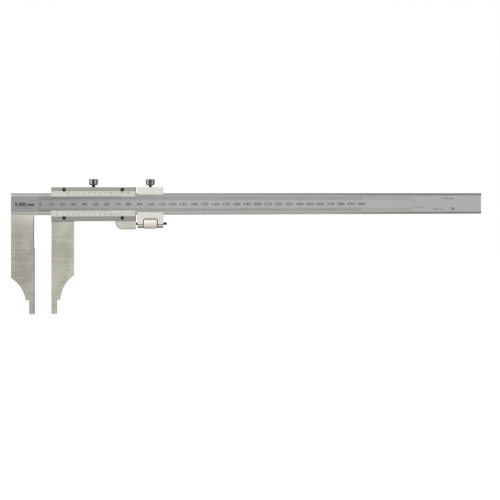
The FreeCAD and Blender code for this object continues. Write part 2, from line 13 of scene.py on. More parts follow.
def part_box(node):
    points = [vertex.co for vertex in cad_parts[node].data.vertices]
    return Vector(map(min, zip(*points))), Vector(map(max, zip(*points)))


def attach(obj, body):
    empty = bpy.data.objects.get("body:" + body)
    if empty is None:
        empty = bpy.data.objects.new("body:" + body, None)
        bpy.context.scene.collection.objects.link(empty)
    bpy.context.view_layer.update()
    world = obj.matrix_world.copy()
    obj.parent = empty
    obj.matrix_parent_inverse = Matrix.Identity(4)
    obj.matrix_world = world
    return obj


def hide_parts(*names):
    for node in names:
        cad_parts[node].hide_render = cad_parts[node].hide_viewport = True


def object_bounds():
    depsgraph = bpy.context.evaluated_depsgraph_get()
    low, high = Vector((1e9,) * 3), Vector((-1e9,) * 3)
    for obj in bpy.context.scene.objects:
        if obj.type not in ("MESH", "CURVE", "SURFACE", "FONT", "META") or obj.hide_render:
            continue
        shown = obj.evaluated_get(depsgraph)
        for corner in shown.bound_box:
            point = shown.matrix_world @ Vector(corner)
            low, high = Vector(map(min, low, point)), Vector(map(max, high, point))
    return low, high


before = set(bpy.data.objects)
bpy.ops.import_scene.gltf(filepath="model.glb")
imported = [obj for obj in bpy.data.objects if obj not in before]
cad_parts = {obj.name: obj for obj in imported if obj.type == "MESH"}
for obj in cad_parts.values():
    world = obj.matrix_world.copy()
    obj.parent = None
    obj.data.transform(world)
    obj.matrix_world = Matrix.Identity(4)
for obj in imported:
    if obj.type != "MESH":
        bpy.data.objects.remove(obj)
cad_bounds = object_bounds()
MM = 0.001

BEAM_LOW, BEAM_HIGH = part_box("main_beam")
SLIDER_LOW, SLIDER_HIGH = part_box("slider_body")
UPPER_LOW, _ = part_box("upper_vernier_plate")
_, LOWER_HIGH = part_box("lower_vernier_plate")
NUT_LOW, NUT_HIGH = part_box("fine_adjust_nut")
NUT_X = (NUT_LOW.x + NUT_HIGH.x) / 2
NUT_Z = (NUT_LOW.z + NUT_HIGH.z) / 2
CLAMP_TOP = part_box("slider_clamp_screw")[1].z
SCREW_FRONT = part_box("upper_vernier_screws")[0].y

# Places on the faces, worked out from the frame's boxes
BEAM_HEIGHT = 20 * MM
BEAM_TOP = BEAM_HIGH.z
BEAM_BOTTOM = BEAM_TOP - BEAM_HEIGHT
BEAM_MIDDLE = BEAM_TOP - BEAM_HEIGHT / 2
SCALE_FACE = BEAM_LOW.y + 0.3 * MM
PLATE_FACE = UPPER_LOW.y
PLATE_BEVEL = 0.6 * MM
SLIDER_BOTTOM = BEAM_BOTTOM - 5.6 * MM
RAIL_HEIGHT = 1.75 * MM
FACE_MARGIN = 3 * MM
SCALE_ZERO = 4.8 * MM
SCALE_START = SCALE_ZERO - 1 * MM
SCALE_END = SCALE_ZERO + 350 * MM


# Node trees: a finish is painted in its piece's own coordinates, which are the frame's at rest

class Tree:
    """Short calls for building one node tree."""

    def __init__(self, tree):
        self.tree = tree
        tree.nodes.clear()

    def add(self, kind, inputs=None, **settings):
        """A node of this kind; inputs holds numbers, colours or the sockets to link."""
        node = self.tree.nodes.new("ShaderNode" + kind)
        for key, value in settings.items():
            setattr(node, key, value)
        for key, value in (inputs or {}).items():
            socket = node.inputs[key]
            if isinstance(value, bpy.types.NodeSocket):
                self.tree.links.new(value, socket)
            else:
                socket.default_value = value
        return node

    def maths(self, operation, a, b=0.0):
        return self.add("Math", {0: a, 1: b}, operation=operation).outputs[0]

    def both(self, a, b):
        """Where a and b overlap."""
        return self.maths("MULTIPLY", a, b)

    def step(self, value, start, end):
        """0 below start, 1 above end, smooth between."""
        node = self.add("MapRange", {"Value": value, "From Min": start, "From Max": end},
                        interpolation_type="SMOOTHSTEP")
        return node.outputs["Result"]

    def window(self, value, low, high, soft):
        """1 between low and high, 0 outside, with soft edges."""
        return self.both(self.step(value, low - soft, low + soft),
                         self.step(value, high + soft, high - soft))

    def between(self, value, low, high):
        """1 between two places in metres, with narrow soft edges."""
        return self.window(value, low, high, 0.05 * MM)

    def mix(self, factor, a, b):
        """Colour a where the factor is 0 and colour b where it is 1."""
        first, second = (value if isinstance(value, bpy.types.NodeSocket) else (*value, 1)
                         for value in (a, b))
        node = self.add("Mix", {"Factor": factor, 6: first, 7: second}, data_type="RGBA")
        return node.outputs[2]

    def shade(self, colour, factor):
        """A colour times a number."""
        node = self.add("VectorMath", {0: colour, 3: factor}, operation="SCALE")
        return node.outputs[0]

    def vary(self, value, spread):
        """A factor that follows a value from 0 to 1, by this much on each side of 1."""
        node = self.add("MapRange", {"Value": value, "To Min": 1 - spread, "To Max": 1 + spread})
        return node.outputs["Result"]

    def noise(self, position, stretch, detail=3.0, roughness=0.5):
        """Noise whose grain is set in cycles per millimetre along X, Y and Z."""
        scaled = self.add("Mapping", {"Vector": position, "Scale": [s / MM for s in stretch]})
        node = self.add("TexNoise", {"Vector": scaled.outputs[0], "Scale": 1.0,
                                     "Detail": detail, "Roughness": roughness})
        return node.outputs["Fac"]


def metal(name, paint, grain, roughness, edge_sheen_and_wear=0.05, metallic=1.0, relief=0.3):
    """A worked metal with brushed grain, slow clouds, and rounded edges lightened by a painted
    highlight and wear.

    paint(tree, position) returns the colour socket; grain is the brushing's stretch;
    edge_sheen_and_wear lightens the edges as a painted highlight and wear; relief is the strength
    of the brushing's bump.
    """
    # The pale colour of the painted edge highlight and wear.
    sheen_and_wear_colour = (0.82, 0.81, 0.79)
    material = bpy.data.materials.new(name)
    material.use_nodes = True
    tree = Tree(material.node_tree)
    position = tree.add("TexCoord").outputs["Object"]
    colour = paint(tree, position)
    brushed = tree.noise(position, grain, 4.0, 0.6)
    cloudy = tree.noise(position, (0.05, 0.05, 0.05), 2.0)
    colour = tree.shade(colour, tree.both(tree.vary(brushed, 0.14), tree.vary(cloudy, 0.07)))
    rounded = tree.add("Bevel", {"Radius": 0.12 * MM}, samples=6)
    true_normal = tree.add("NewGeometry").outputs["True Normal"]
    facing = tree.add("VectorMath", {0: rounded.outputs[0], 1: true_normal},
                      operation="DOT_PRODUCT").outputs["Value"]
    # Painted highlight and wear: the rounded edges are lightened towards that pale colour.
    edge = tree.maths("MULTIPLY", tree.step(facing, 0.995, 0.85), edge_sheen_and_wear)
    colour = tree.mix(edge, colour, sheen_and_wear_colour)
    rough = tree.add("MapRange", {"Value": brushed, "To Min": roughness - 0.07,
                                  "To Max": roughness + 0.09}).outputs[0]
    bump = tree.add("Bump", {"Strength": relief, "Distance": 0.01 * MM, "Height": brushed,
                             "Normal": rounded.outputs[0]})
    surface = tree.add("BsdfPrincipled", {
        "Base Color": colour, "Metallic": metallic, "Roughness": rough,
        "Normal": bump.outputs[0]})
    tree.add("OutputMaterial", {"Surface": surface.outputs[0]})
    return material


def place_of(tree, position):
    """The X and Z of a point, in metres."""
    split = tree.add("SeparateXYZ", {0: position})
    return split.outputs["X"], split.outputs["Z"]


# Finishes

def ground_steel(tree, position, dark, light):
    """Ground jaw steel: fine level grinding lines over slow patches."""
    patches = tree.noise(position, (0.09, 0.09, 0.05), 3.0, 0.55)
    lines = tree.noise(position, (0.03, 0.6, 0.6), 2.0, 0.6)
    mixed = tree.maths("ADD", tree.maths("MULTIPLY", patches, 0.6),
                       tree.maths("MULTIPLY", lines, 0.4))
    return tree.mix(tree.step(mixed, 0.35, 0.65), dark, light)


def normal_of(tree):
    """The X and Y of a face's true normal."""
    normal = tree.add("NewGeometry").outputs["True Normal"]
    split = tree.add("SeparateXYZ", {0: normal})
    return split.outputs["X"], split.outputs["Y"]


def bevelled(tree):
    """1 on faces that lean between the front and the sides."""
    _, y = normal_of(tree)
    forward = tree.maths("ABSOLUTE", y)
    return tree.both(tree.step(forward, 0.3, 0.5), tree.step(forward, 0.95, 0.85))


def shaded_chamfers(tree, colour, factor):
    """Chamfers that outline the piece, painted darker as shade where the factor is below 1 and
    paler as a painted highlight where it is above.
    """
    return tree.mix(bevelled(tree), colour, tree.shade(colour, factor))


def paint_scale_face(tree, x, z):
    """The beam's face, with a painted reflection that is darker at its left end and paler further
    along, and a little duller where the ticks are etched.
    """
    # Painted reflection: the face grows paler along the beam.
    face = tree.mix(tree.step(x, -0.03, 0.15), (0.46, 0.46, 0.45), (0.66, 0.67, 0.65))
    upper_ticks = tree.between(z, BEAM_TOP - 6.4 * MM, BEAM_TOP - FACE_MARGIN)
    lower_ticks = tree.between(z, BEAM_BOTTOM + FACE_MARGIN, BEAM_BOTTOM + 6.2 * MM)
    etched = tree.both(tree.step(x, SCALE_START, SCALE_START + 0.1 * MM),
                       tree.step(x, SCALE_END, SCALE_END - 0.1 * MM))
    dull = tree.both(tree.maths("MAXIMUM", upper_ticks, lower_ticks), etched)
    return tree.mix(dull, face, tree.shade(face, 0.9))


def paint_bevels(tree, x, z):
    """The sloping strips between the scale face and the two rails, in painted reflection: pale at
    the left end, darker further along, with painted shade low at the left and a painted highlight
    on the upper shoulder.
    """
    bevel = tree.mix(tree.step(x, 0.0, 0.03), (0.60, 0.60, 0.58), (0.44, 0.44, 0.42))
    # Painted shade on the lower strip at the beam's left end.
    low_left = tree.both(tree.step(x, 0.03, 0.0),
                         tree.step(z, BEAM_BOTTOM + 5 * MM, BEAM_BOTTOM + 4 * MM))
    bevel = tree.mix(low_left, bevel, (0.30, 0.30, 0.28))
    # Painted highlight on the upper strip, a little way along the beam.
    shoulder = tree.both(tree.window(x, 0.12, 0.30, 0.03),
                         tree.window(z, BEAM_TOP - 2.5 * MM, BEAM_TOP - 1.9 * MM, 0.1 * MM))
    return tree.mix(shoulder, bevel, tree.shade(bevel, 1.25))


def paint_rails(tree, x, z):
    """The ground strips along the beam's two edges, with a painted reflection that grows darker
    towards the far end.
    """
    # Painted reflection: each rail darkens along the beam.
    upper = tree.mix(tree.step(x, 0.0, 0.36), (0.60, 0.60, 0.59), (0.33, 0.33, 0.31))
    lower = tree.mix(tree.step(x, 0.26, 0.36), (0.60, 0.60, 0.57), (0.44, 0.44, 0.42))
    return tree.mix(tree.step(z, BEAM_MIDDLE + 1 * MM, BEAM_MIDDLE - 1 * MM), upper, lower)


def paint_straight_beam(tree, x, z):
    """The beam without its jaw."""
    half = BEAM_HEIGHT / 2
    from_middle = tree.maths("ABSOLUTE", tree.maths("SUBTRACT", z, BEAM_MIDDLE))
    rail, bevel = half - RAIL_HEIGHT, half - FACE_MARGIN
    on_rail = tree.step(from_middle, rail - 0.1 * MM, rail + 0.1 * MM)
    on_bevel = tree.step(from_middle, bevel, bevel + 0.2 * MM)
    beam = tree.mix(on_bevel, paint_scale_face(tree, x, z), paint_bevels(tree, x, z))
    beam = tree.mix(on_rail, beam, paint_rails(tree, x, z))
    # Painted shade: a dark line along the lower rail's inner edge, darkest towards the far end.
    low_line = tree.window(z, BEAM_BOTTOM + 1.4 * MM, BEAM_BOTTOM + 2.2 * MM, 0.15 * MM)
    line_tone = tree.mix(tree.step(x, 0.26, 0.36), tree.shade(beam, 0.83), (0.22, 0.22, 0.20))
    beam = tree.mix(low_line, beam, line_tone)
    # Painted light on the chamfers: a painted highlight on the upper half, painted shade on the
    # lower half.
    upper_half = tree.step(z, BEAM_MIDDLE + 1 * MM, BEAM_MIDDLE + 2 * MM)
    return tree.mix(upper_half, shaded_chamfers(tree, beam, 1.5),
                    shaded_chamfers(tree, beam, 0.3))


def paint_fixed_jaw(tree, position, x, z):
    """Ground steel with a duller patch, a painted highlight near the beam, and painted shade on
    its measuring side and chamfers.
    """
    jaw = ground_steel(tree, position, (0.53, 0.505, 0.43), (0.70, 0.675, 0.585))
    dull = tree.both(tree.window(x, -17 * MM, -8 * MM, 3 * MM),
                     tree.window(z, 12 * MM, 32 * MM, 8 * MM))
    jaw = tree.mix(dull, jaw, tree.shade(jaw, 0.88))
    # Painted highlight: the jaw grows pale near the beam, palest at its right.
    high = tree.step(z, BEAM_BOTTOM - 15 * MM, BEAM_BOTTOM)
    top_highlight = tree.mix(tree.step(x, -20 * MM, 0.0), (0.76, 0.745, 0.67), (0.93, 0.905, 0.82))
    jaw = tree.mix(high, jaw, top_highlight)
    # Painted shade on the faces that look towards the measuring side.
    rightward, _ = normal_of(tree)
    jaw = tree.mix(tree.step(rightward, 0.3, 0.6), jaw, tree.shade(jaw, 0.4))
    # Painted shade on the chamfers.
    return shaded_chamfers(tree, jaw, 0.4)


def paint_beam(tree, position):
    """The straight beam and, below it at its left end, the fixed jaw."""
    x, z = place_of(tree, position)
    on_jaw = tree.both(tree.step(z, BEAM_BOTTOM + 0.5 * MM, BEAM_BOTTOM + 0.2 * MM),
                       tree.step(x, 0.3 * MM, 0.0))
    return tree.mix(on_jaw, paint_straight_beam(tree, x, z),
                    paint_fixed_jaw(tree, position, x, z))


def paint_moving_jaw(tree, position, x, z):
    """Ground steel with painted light: a little lighter to the right and at the nib, and painted
    shade at its top left under the slider's frame.
    """
    left = SLIDER_LOW.x
    jaw = ground_steel(tree, position, (0.58, 0.555, 0.47), (0.75, 0.725, 0.63))
    # Painted light: the jaw grows a little lighter to the right.
    lean = tree.step(x, left, left + 20 * MM)
    jaw = tree.mix(lean, tree.shade(jaw, 1.05), tree.shade(jaw, 1.09))
    # Painted light: a little lighter towards the nib.
    jaw = tree.mix(tree.step(z, 6 * MM, -6 * MM), jaw, tree.shade(jaw, 1.05))
    # Painted shade at the top left, under the slider's frame.
    corner = tree.both(tree.step(z, 43 * MM, 53 * MM),
                       tree.step(x, left + 9 * MM, left + 1 * MM))
    return tree.mix(corner, jaw, tree.shade(jaw, 0.88))


def paint_lug(tree, position):
    """Pale ground steel with its chamfers painted dark as shade."""
    lug = ground_steel(tree, position, (0.80, 0.77, 0.70), (0.90, 0.87, 0.80))
    # Painted shade on the lug's chamfers.
    return tree.mix(bevelled(tree), lug, (0.12, 0.11, 0.10))


def paint_slider(tree, position):
    """Satin frame over the ground jaw and the feed screw's lug; the frame is painted paler
    towards its top, and its chamfers carry painted shade, with a painted highlight along the
    lower edge.
    """
    x, z = place_of(tree, position)
    left, right = SLIDER_LOW.x, SLIDER_HIGH.x
    # Painted light: the frame grows paler towards its top.
    frame_tone = tree.mix(tree.step(z, BEAM_BOTTOM, BEAM_TOP), (0.45, 0.45, 0.42),
                          (0.525, 0.525, 0.49))
    at_lug = tree.step(x, left + 40 * MM, left + 41 * MM)
    jaw_below = tree.step(z, SLIDER_BOTTOM, SLIDER_BOTTOM - 0.3 * MM)
    lug_below = tree.step(z, SLIDER_BOTTOM + 0.45 * MM, SLIDER_BOTTOM + 0.15 * MM)
    painted = tree.mix(jaw_below, frame_tone, paint_moving_jaw(tree, position, x, z))
    painted = tree.mix(tree.both(at_lug, lug_below), painted, paint_lug(tree, position))
    # Painted light on the chamfers: a painted highlight along the lower edge, painted shade
    # elsewhere.
    lower_edge = tree.both(tree.window(z, SLIDER_BOTTOM, SLIDER_BOTTOM + 1 * MM, 0.4 * MM),
                           tree.window(x, left + 20.5 * MM, right - 20 * MM, 0.2 * MM))
    return tree.mix(lower_edge, shaded_chamfers(tree, painted, 0.4),
                    shaded_chamfers(tree, painted, 2.0))


def paint_nut(tree, position):
    """Bright nut whose bosses at the two ends are painted dark, as shade in their recesses."""
    x, _ = place_of(tree, position)
    from_middle = tree.maths("ABSOLUTE", tree.maths("SUBTRACT", x, NUT_X))
    # Painted shade on the bosses.
    return tree.mix(tree.step(from_middle, 5.95 * MM, 6.1 * MM), (0.84, 0.80, 0.74),
                    (0.06, 0.05, 0.045))


def paint_carriage(tree, position):
    """Pale chrome with painted shade: a dark line on the ears just under the nut's axis, the ears
    dark below that, and darker chamfers.
    """
    _, z = place_of(tree, position)
    # Painted shade: a dark line under the nut's axis, and dark below the ears.
    shadow_line = tree.between(z, NUT_Z - 0.95 * MM, NUT_Z - 0.3 * MM)
    under = tree.step(z, NUT_Z - 2.9 * MM, NUT_Z - 3.2 * MM)
    clouds = tree.step(tree.noise(position, (0.35, 0.35, 0.35), 3.0, 0.6), 0.38, 0.62)
    chrome = tree.mix(clouds, (0.80, 0.775, 0.71), (0.87, 0.845, 0.775))
    # Painted shade on the chamfers.
    chrome = tree.mix(bevelled(tree), chrome, tree.shade(chrome, 0.75))
    return tree.mix(tree.maths("MAXIMUM", shadow_line, under), chrome, (0.07, 0.055, 0.04))


def plain_paint(colour):
    """A paint of one colour, for finishes whose detail comes from the metal itself."""
    def paint(tree, position):
        patches = tree.noise(position, (0.2, 0.2, 0.2), 3.0)
        return tree.mix(tree.step(patches, 0.3, 0.7), tuple(c * 0.94 for c in colour), colour)
    return paint


def paint_plate_screw(tree, position):
    """Dark head, a little brighter inside its slot."""
    depth = tree.add("SeparateXYZ", {0: position}).outputs["Y"]
    in_slot = tree.step(depth, SCREW_FRONT + 0.05 * MM, SCREW_FRONT + 0.15 * MM)
    return tree.mix(in_slot, (0.05, 0.047, 0.04), (0.15, 0.145, 0.13))


def paint_clamp(tree, position):
    """Head over a near-black shank, painted dark as the shade under the head."""
    _, z = place_of(tree, position)
    under = CLAMP_TOP - 5.9 * MM
    in_head = tree.step(z, under, under + 0.1 * MM)
    # Painted shade: the shank below the head is near black.
    return tree.mix(in_head, (0.008, 0.007, 0.006), (0.15, 0.145, 0.13))


# Grain of the brushing, in cycles per millimetre along X, Y and Z
ALONG = (0.04, 4, 14)
FINE = (6, 6, 6)

FINISHES = {
    "main_beam": metal("beam_satin", paint_beam, ALONG, 0.36),
    "slider_body": metal("slider_satin", paint_slider, ALONG, 0.36),
    "upper_vernier_plate": metal("upper_plate_chrome", plain_paint((0.66, 0.67, 0.595)), ALONG,
                                 0.5, metallic=0.6),
    "lower_vernier_plate": metal("lower_plate_chrome", plain_paint((0.68, 0.665, 0.63)), ALONG,
                                 0.5, metallic=0.6),
    "carriage_body": metal("carriage_chrome", paint_carriage, FINE, 0.42, metallic=0.6),
    "slider_gib": metal("gib_bronze", plain_paint((0.52, 0.31, 0.12)), ALONG, 0.35),
    "fine_adjust_nut": metal("nut_chrome", paint_nut, ALONG, 0.16, metallic=0.55),
    "slider_clamp_screw": metal("clamp_nickel", paint_clamp, FINE, 0.12, relief=0.04),
    "feed_screw": metal("feed_thread_steel", plain_paint((0.045, 0.038, 0.03)), FINE, 0.3),
    "upper_vernier_screws": metal("slotted_screws", paint_plate_screw, FINE, 0.35),
    "gib_set_screws": metal("blackened_screws", plain_paint((0.03, 0.03, 0.025)), FINE, 0.35),
}
SAME_FINISH = {
    "carriage_gib": "slider_gib",
    "carriage_clamp_screw": "slider_clamp_screw",
    "lower_vernier_screws": "upper_vernier_screws",
    "feed_screw_pin": "feed_screw",
}
INK = metal("graduation_ink", plain_paint((0.05, 0.05, 0.045)), FINE, 0.6, edge_sheen_and_wear=0.0,
            metallic=0.0)


def finish_of(node):
    """The finish of a CAD node."""
    return FINISHES[SAME_FINISH.get(node, node)]


def dress_cad_nodes():
    """Give every CAD node its finish."""
    for name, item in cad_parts.items():
        item.data.materials.clear()
        item.data.materials.append(finish_of(name))


# Mesh helpers

def piece(name, mesh, body, material):
    """A finished mesh as a piece that rides on a body."""
    item = bpy.data.objects.new(name, mesh)
    bpy.context.scene.collection.objects.link(item)
    mesh.materials.append(material)
    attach(item, body)
    return item


def mesh_from(name, vertices, faces):
    """A mesh with its normals outward."""
    mesh = bpy.data.meshes.new(name)
    mesh.from_pydata(vertices, [], faces)
    made = bmesh.new()
    made.from_mesh(mesh)
    bmesh.ops.recalc_face_normals(made, faces=made.faces)
    made.to_mesh(mesh)
    made.free()
    return mesh


INK_PROUD = 0.012 * MM
INK_SUNK = 0.05 * MM
# A figure's height as a share of the font's size
FIGURE_SHARE = 0.72
UPRIGHT = Matrix.Rotation(math.radians(90), 4, "X")
BAR_FACES = ((0, 1, 3, 2), (4, 6, 7, 5), (0, 2, 6, 4), (1, 5, 7, 3), (0, 4, 5, 1), (2, 3, 7, 6))


class Ink:
    """Painted lines and figures, gathered into one mesh.

    Each stands INK_PROUD out of its face and reaches INK_SUNK into it.
    """

    def __init__(self):
        self.vertices = []
        self.faces = []

    def line(self, x, width, start, end):
        """A line across the face from start to end, each (y, z), as a thin closed bar."""
        along = Vector((0, end[0] - start[0], end[1] - start[1])).normalized()
        out = Vector((0, -abs(along.z), along.y * math.copysign(1, along.z)))
        base = len(self.vertices)
        for y, z in (start, end):
            for side in (-width / 2, width / 2):
                for lift in (INK_PROUD, -INK_SUNK):
                    self.vertices.append(Vector((x + side, y, z)) + out * lift)
        self.faces.extend([base + i for i in face] for face in BAR_FACES)

    def text(self, words, x, y, z, height, weight=0.0, widen=1.0):
        """Words centred at x, z on a face at y, with figures of this height.

        weight thickens the strokes; widen stretches the words along X.
        """
        curve = bpy.data.curves.new("figures", "FONT")
        curve.body = words
        curve.size = height / FIGURE_SHARE
        curve.align_x = "CENTER"
        curve.offset = weight
        curve.extrude = (INK_PROUD + INK_SUNK) / 2
        curve.resolution_u = 4
        item = bpy.data.objects.new("figures", curve)
        bpy.context.scene.collection.objects.link(item)
        bpy.context.view_layer.update()
        mesh = bpy.data.meshes.new_from_object(item)
        middle = y + (INK_SUNK - INK_PROUD) / 2
        place = (Matrix.Translation((x, middle, z - height / 2)) @ UPRIGHT
                 @ Matrix.Diagonal((widen, 1, 1, 1)))
        base = len(self.vertices)
        self.vertices.extend(place @ vertex.co for vertex in mesh.vertices)
        self.faces.extend([base + i for i in face.vertices] for face in mesh.polygons)
        bpy.data.objects.remove(item)
        bpy.data.curves.remove(curve)
        bpy.data.meshes.remove(mesh)

    def make(self, name, body):
        """All the ink so far as one piece."""
        mesh = mesh_from(name, self.vertices, self.faces)
        return piece(name, mesh, body, INK)


# Graduations

SCALE_LENGTH = 300
VERNIER_DIVISIONS = 50
VERNIER_PITCH = 0.98 * MM


def tick_length(number, lengths):
    """The length of a tick: a short one, a longer fifth, the longest tenth."""
    if number % 10 == 0:
        return lengths[2]
    return lengths[1] if number % 5 == 0 else lengths[0]


def beam_scale():
    """A tick for each millimetre along both edges of the face, and a number for each ten."""
    ink = Ink()
    width = 0.14 * MM
    margin = FACE_MARGIN + 0.05 * MM
    upper, lower = BEAM_TOP - margin, BEAM_BOTTOM + margin
    for number in range(SCALE_LENGTH + 1):
        x = SCALE_ZERO + number * MM
        down = tick_length(number, (3.0 * MM, 3.7 * MM, 4.6 * MM))
        up = tick_length(number, (2.9 * MM, 3.6 * MM, 4.4 * MM))
        ink.line(x, width, (SCALE_FACE, upper), (SCALE_FACE, upper - down))
        ink.line(x, width, (SCALE_FACE, lower), (SCALE_FACE, lower + up))
    label_z = BEAM_TOP - 10.1 * MM
    for number in range(0, SCALE_LENGTH + 1, 10):
        ink.text(str(number), SCALE_ZERO + number * MM, SCALE_FACE, label_z, 2.4 * MM,
                 weight=0.045 * MM, widen=1.5)
    for x in (SCALE_START, SCALE_END):
        ink.line(x, 0.12 * MM, (SCALE_FACE, upper), (SCALE_FACE, lower))
    ink.make("beam_graduations", "beam")


def beam_marks():
    """Generic marks: range and division at the left end, small print and a ring at the right."""
    marks = Ink()
    face_x = SCALE_ZERO - 13.6 * MM
    marks.text("0-300 mm", face_x, SCALE_FACE, BEAM_TOP - 10.0 * MM, 3.0 * MM,
               weight=0.22 * MM)
    marks.text("1 div = 0.02 mm", face_x, SCALE_FACE, BEAM_TOP - 13.3 * MM, 1.2 * MM)
    for words, away, down, widen in (("1 div = 1 mm", 356.7, 13.1, 1.0),
                                     ("0-300 mm", 386, 5.0, 1.7), ("0.02 mm", 376, 15.1, 1.6)):
        marks.text(words, SCALE_ZERO + away * MM, SCALE_FACE, BEAM_TOP - down * MM, 1.25 * MM,
                   weight=0.03 * MM, widen=widen)
    marks.text("o", SCALE_ZERO + 391 * MM, SCALE_FACE, BEAM_TOP - 14.2 * MM, 3.2 * MM,
               weight=0.2 * MM)
    marks.make("beam_range_marks", "beam")


def vernier(name, zero, edge, inward, digit_z):
    """Lines from a plate's reading edge, over its bevel, and digits 0 to 10.

    inward is 1 where the plate lies above its reading edge and -1 where it lies below.
    """
    ink = Ink()
    width = 0.1 * MM
    shoulder = edge + inward * PLATE_BEVEL
    for number in range(VERNIER_DIVISIONS + 1):
        x = zero + number * VERNIER_PITCH
        length = 1.9 * MM if number % 5 == 0 else 1.25 * MM
        ink.line(x, width, (PLATE_FACE + PLATE_BEVEL, edge), (PLATE_FACE, shoulder))
        ink.line(x, width, (PLATE_FACE, shoulder), (PLATE_FACE, shoulder + inward * length))
    for digit in range(11):
        ink.text(str(digit), zero + digit * 5 * VERNIER_PITCH, PLATE_FACE, digit_z, 1.35 * MM,
                 weight=0.02 * MM)
    ink.text("0.02", zero + 54.6 * MM, PLATE_FACE, digit_z, 1.2 * MM)
    ink.make(name, "slider")


def vernier_scales():
    """The upper vernier reads inside sizes, so its zero stands one nib pair further right."""
    left = SLIDER_LOW.x
    vernier("upper_vernier_graduations", left + 14.8 * MM, UPPER_LOW.z, 1, BEAM_TOP + 0.45 * MM)
    vernier("lower_vernier_graduations", left + 4.8 * MM, LOWER_HIGH.z, -1,
            BEAM_BOTTOM + 0.55 * MM)


# Turned, fluted and threaded pieces

STEPS_PER_TOOTH = 6
THREAD_PITCH = 0.45 * MM


def groove_at(k):
    """How much of the tooth depth is cut at step k: narrow grooves between round lands."""
    return (0.5 - 0.5 * math.cos(math.tau * k / STEPS_PER_TOOTH)) ** 6


def toothed_rows(outline, teeth, tooth_depth):
    """A row of points about +Z for each (radius, height, share) of an outline.

    share is how much of the tooth depth is cut there.
    """
    around = teeth * STEPS_PER_TOOTH
    points = []
    for radius, height, share in outline:
        for k in range(around):
            r = radius - tooth_depth * share * groove_at(k)
            angle = math.tau * k / around
            points.append(Vector((r * math.cos(angle), r * math.sin(angle), height)))
    return points


def band(a, b, around):
    """Faces between two closed rows whose first points have the numbers a and b."""
    return [(a + k, a + (k + 1) % around, b + (k + 1) % around, b + k) for k in range(around)]


def turned(name, outline, teeth, tooth_depth):
    """A closed turned mesh about +Z; its outline's first and last points lie on the axis."""
    around = teeth * STEPS_PER_TOOTH
    rows = toothed_rows(outline[1:-1], teeth, tooth_depth)
    vertices = [Vector((0, 0, outline[0][1])), *rows, Vector((0, 0, outline[-1][1]))]
    first, last = 1, 1 + len(rows) - around
    faces = []
    for row in range(first, last, around):
        faces += band(row, row + around, around)
    for k in range(around):
        following = (k + 1) % around
        faces.append((0, first + following, first + k))
        faces.append((len(vertices) - 1, last + k, last + following))
    return mesh_from(name, vertices, faces)


def ring(name, outline, teeth, tooth_depth):
    """A closed ring about +Z."""
    around = teeth * STEPS_PER_TOOTH
    vertices = toothed_rows(outline, teeth, tooth_depth)
    faces = []
    for row in range(0, len(vertices), around):
        faces += band(row, (row + around) % len(vertices), around)
    return mesh_from(name, vertices, faces)


def arc_points(centre, radius, degrees, shares, count):
    """Outline points on an arc, with the tooth share blended along it.

    centre is (radius, height); degrees and shares hold the values at the arc's two ends.
    """
    points = []
    for i in range(count + 1):
        part = i / count
        angle = math.radians(degrees[0] + (degrees[1] - degrees[0]) * part)
        share = shares[0] + (shares[1] - shares[0]) * part
        points.append((centre[0] + radius * math.cos(angle),
                       centre[1] + radius * math.sin(angle), share))
    return points


def clamp_screw(node, body):
    """A thumb screw: fluted head with a shallow dish in its top, on a threaded shank."""
    low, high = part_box(node)
    centre = (low + high) / 2
    top, tip = high.z, low.z
    under = top - 5.8 * MM
    head_r, shank_r = 4.0 * MM, 1.35 * MM
    chamfer, thread_depth, fillet = 0.4 * MM, 0.2 * MM, 0.15 * MM
    round_under, round_top = 1.9 * MM, 0.5 * MM
    plain_neck = 1.6 * MM
    flutes, flute_depth = 40, 0.03 * MM
    outline = [(0, tip, 0), (shank_r - chamfer, tip, 0), (shank_r, tip + chamfer, 0)]
    turns = int((under - plain_neck - tip) / THREAD_PITCH)
    for i in range(1, turns):
        z = tip + chamfer + i * THREAD_PITCH
        outline.append((shank_r - thread_depth, z - THREAD_PITCH / 2, 0))
        outline.append((shank_r, z, 0))
    outline += [(shank_r, under - fillet, 0), (shank_r + fillet, under, 0)]
    outline += arc_points((head_r - round_under, under + round_under), round_under,
                          (-90, 0), (0, 1), 8)
    outline.append((head_r, top - round_top - 0.25 * MM, 1))
    outline += arc_points((head_r - round_top, top - round_top), round_top,
                          (10, 90), (0.8, 0), 5)
    outline += [(head_r - 1.1 * MM, top - 0.12 * MM, 0), (head_r - 2.2 * MM, top - 0.2 * MM, 0)]
    outline.append((0, top - 0.22 * MM, 0))
    mesh = turned(node + "_mesh", outline, flutes, flute_depth)
    mesh.transform(Matrix.Translation((centre.x, centre.y, 0)))
    item = piece(node + "_fluted", mesh, body, finish_of(node))
    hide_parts(node)
    return item


def adjust_nut():
    """The knurled nut, with a plain boss at each end."""
    low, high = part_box("fine_adjust_nut")
    centre = (low + high) / 2
    rim, boss, bore = (high.z - low.z) / 2, 4.0 * MM, 1.3 * MM
    half, body_half = (high.x - low.x) / 2, 6.05 * MM
    chamfer, boss_chamfer = 0.15 * MM, 0.2 * MM
    teeth, tooth_depth = 48, 0.07 * MM
    outline = [(bore, -half, 0), (boss - boss_chamfer, -half, 0), (boss, -half + boss_chamfer, 0),
               (boss, -body_half, 0), (rim - chamfer, -body_half, 0.5),
               (rim, -body_half + chamfer, 1)]
    outline += [(r, -z, share) for r, z, share in reversed(outline)]
    mesh = ring("knurled_ring", outline, teeth, tooth_depth)
    mesh.transform(Matrix.Translation(centre) @ Matrix.Rotation(math.radians(90), 4, "Y"))
    item = piece("fine_adjust_nut_knurled", mesh, "feed_nut",
                 finish_of("fine_adjust_nut"))
    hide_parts("fine_adjust_nut")


